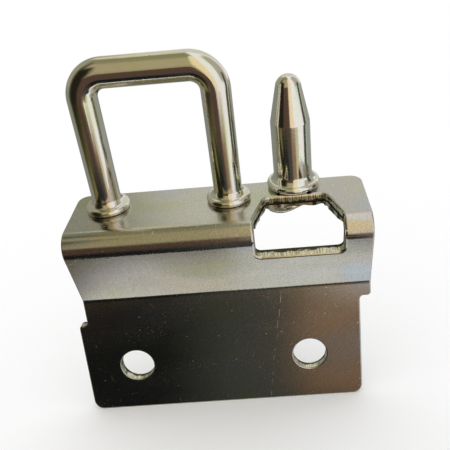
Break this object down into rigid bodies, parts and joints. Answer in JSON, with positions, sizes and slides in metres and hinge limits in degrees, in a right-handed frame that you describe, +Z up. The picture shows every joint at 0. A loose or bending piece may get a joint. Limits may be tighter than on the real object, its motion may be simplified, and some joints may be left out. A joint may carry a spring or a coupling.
{
  "type": "latch striker bracket",
  "caption": "Zinc-plated latch striker: a folded bracket with a bolt flange carries a riveted wire loop and a round-nosed guide pin.",
  "frame": {"origin": "midway between the two bolt holes, on the back face of the flange that is bolted down", "axes": "+X along the fold, to the guide pin's side; +Y out of the back face of the flange, the way the shelf reaches; +Z up the flange towards the shelf. The loop and the pin stand square on the shelf, so they lean 12.2 degrees forward from +Z"},
  "size_m": [0.0866, 0.0292, 0.1057],
  "materials": {
    "plated_sheet": "bright zinc plate over rolled sheet, satin",
    "plated_wire": "bright zinc plate over drawn wire, glossy",
    "plated_pin": "bright zinc plate over turned bar, glossy"
  },
  "bodies": {
    "root": {"bracket_plate": "plated_sheet", "striker_loop": "plated_wire", "guide_pin": "plated_pin"}
  },
  "joints": []
}
